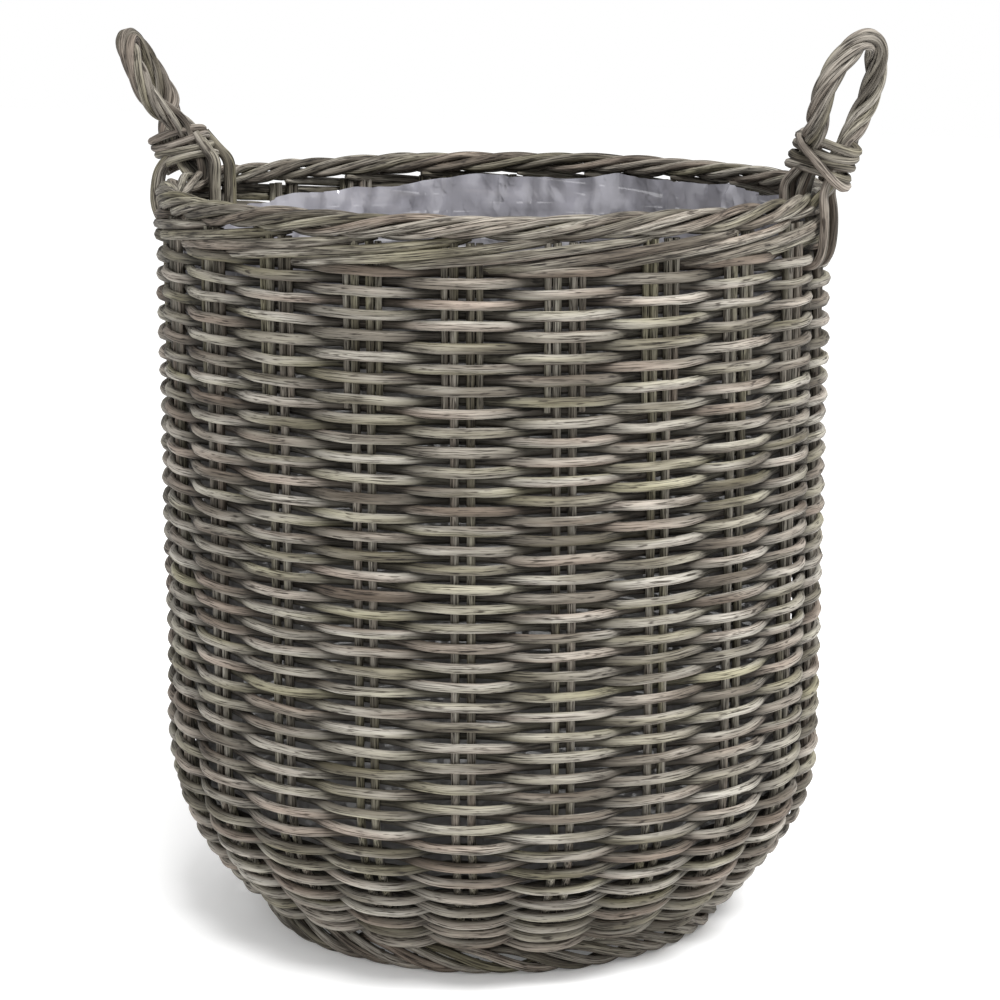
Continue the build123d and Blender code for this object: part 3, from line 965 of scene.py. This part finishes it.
# From painted shade on the low film, dark and nearly solid, to the milky double top.
doubled_or_shaded = add(tree, "ShaderNodeMapRange", inputs={0: height, 1: milk_start, 2: milk_full, 3: 0.0, 4: 1.0})
haze = add(tree, "ShaderNodeMapRange", inputs={0: doubled_or_shaded, 1: 0.0, 2: 1.0, 3: 0.74, 4: 0.86})
# Milky film, painted white on the crease ridges as highlights.
milk_and_highlight = add(tree, "ShaderNodeValToRGB", inputs={"Fac": crinkle})
milk_and_highlight.color_ramp.elements[0].position = 0.35
milk_and_highlight.color_ramp.elements[0].color = linear("#8E8D94")
milk_and_highlight.color_ramp.elements[1].position = 0.76
milk_and_highlight.color_ramp.elements[1].color = linear("#FFFFFF")
milk_and_highlight.color_ramp.elements.new(0.62).color = linear("#C6C5CB")
# Painted shade colour low down; milky film with painted highlights at the top.
colour = add(tree, "ShaderNodeMix", {"data_type": "RGBA"}, {0: doubled_or_shaded, 6: linear("#5B5957"), 7: milk_and_highlight})
shine = add(tree, "ShaderNodeMapRange", inputs={0: doubled_or_shaded, 1: 0.0, 2: 1.0, 3: 0.5, 4: 0.12})
film_bump = add(tree, "ShaderNodeBump", inputs={"Strength": 1.0, "Distance": 3.5 * mm, "Height": crinkle})
finish_surface(tree, {
    "Base Color": colour.outputs[2], "Roughness": shine, "Specular IOR Level": 0.8, "IOR": 1.5,
    "Alpha": haze, "Normal": film_bump,
})

print("film is milky from this height, metres:", milk_start)

# %% [markdown]
# The bag is a grid of rings that follow the wall, with each point pushed inwards by its creases. The film
# stands further in behind the ties, which lie between it and the weave. Smaller rings close the floor.

# %% Film bag
liner_low, liner_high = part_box("liner")
liner_inset = 9 * mm
liner_bottom = liner_low[2] + 0.6 * mm
liner_length = shoulder_end + (liner_high[2] - wall_point(shoulder_end)[1])
edge_lift = 8 * mm
tie_room = 14 * mm
tie_room_width = 60
tie_room_rise = 4
edge_high_side = radians(60)
edge_wave_count = 5
edge_wave_height = 5 * mm
crease_gain = 2.6
crease_slant = 0.8
crease_at_floor = 0.25
crease_growth = 3
crease_sag = 0.4
broad_count = 9
broad_stretch = 3.2
broad_crease = 8 * mm
fine_count = 26
fine_crease = 5 * mm
fine_fade = 0.25
floor_crease_count = 22
floor_crease = 2.2 * mm
folds = 300
levels = 84
floor_rings = 22


def ridge(place, seed):
    """Noise with sharp creases, from 0 to 1."""
    return 1 - min(abs(noise.noise(place + Vector((seed, 0, 0)))) * crease_gain, 1)


bag_points = []
bag_faces = []


def close_ring(lower, upper):
    """Faces between two rings of points that start at these numbers."""
    for fold in range(folds):
        after = (fold + 1) % folds
        bag_faces.append((lower + fold, lower + after, upper + after, upper + fold))


for level_number in range(levels + 1):
    share_up = level_number / levels
    x, z = wall_point(share_up * liner_length)[:2]
    next_x, next_z = wall_point(share_up * liner_length + mm)[:2]
    upright = (next_z - z) / hypot(next_x - x, next_z - z)
    flat = (next_x - x) / hypot(next_x - x, next_z - z)
    for fold in range(folds):
        angle = 2 * pi * fold / folds
        slant = angle + crease_slant * share_up
        broad = Vector((cos(slant) * broad_count, sin(slant) * broad_count, share_up * broad_stretch))
        fine = Vector((cos(slant) * fine_count, sin(slant) * fine_count, share_up * fine_count))
        small = fine_crease * ridge(fine, 8.0) * (1 - fine_fade * share_up ** 12)
        growth = min(1, crease_at_floor + crease_growth * share_up)
        crease = (broad_crease * ridge(broad, 3.0) + small) * growth
        edge_wave = noise.noise(Vector((cos(angle) * edge_wave_count, sin(angle) * edge_wave_count, 4.0)))
        edge = edge_lift * cos(angle - edge_high_side) + edge_wave_height * edge_wave
        behind_ties = tie_room * abs(cos(angle)) ** tie_room_width * share_up ** tie_room_rise
        radius = x - (liner_inset + crease + behind_ties) * upright
        height = max(z + liner_inset * flat, liner_bottom) + crease * flat * crease_sag + edge * share_up ** 6
        bag_points.append((radius * cos(angle), radius * sin(angle), height))
for level_number in range(levels):
    close_ring(level_number * folds, (level_number + 1) * folds)
first_ring = bag_points[:folds]
ring_start = 0
for ring_number in range(1, floor_rings):
    shrink = 1 - ring_number / floor_rings
    new_start = len(bag_points)
    for x, y, z in first_ring:
        spot = Vector((x * shrink * floor_crease_count, y * shrink * floor_crease_count, 9.0))
        rise = floor_crease * max(0, ridge(spot, 5.0) - 0.5)
        bag_points.append((x * shrink, y * shrink, liner_bottom + rise))
    close_ring(new_start, ring_start)
    ring_start = new_start
centre = len(bag_points)
bag_points.append((0, 0, liner_bottom))
for fold in range(folds):
    bag_faces.append((ring_start + (fold + 1) % folds, ring_start + fold, centre))
bag_mesh = bpy.data.meshes.new("liner_film")
bag_mesh.from_pydata(bag_points, [], bag_faces)
bag_mesh.materials.append(film)
bag_mesh.polygons.foreach_set("use_smooth", [True] * len(bag_mesh.polygons))
liner = link_mesh("liner_film", bag_mesh)
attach(liner, "basket")
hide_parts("liner")
print("film area, square metres:", round(sum(face.area for face in bag_mesh.polygons), 3))
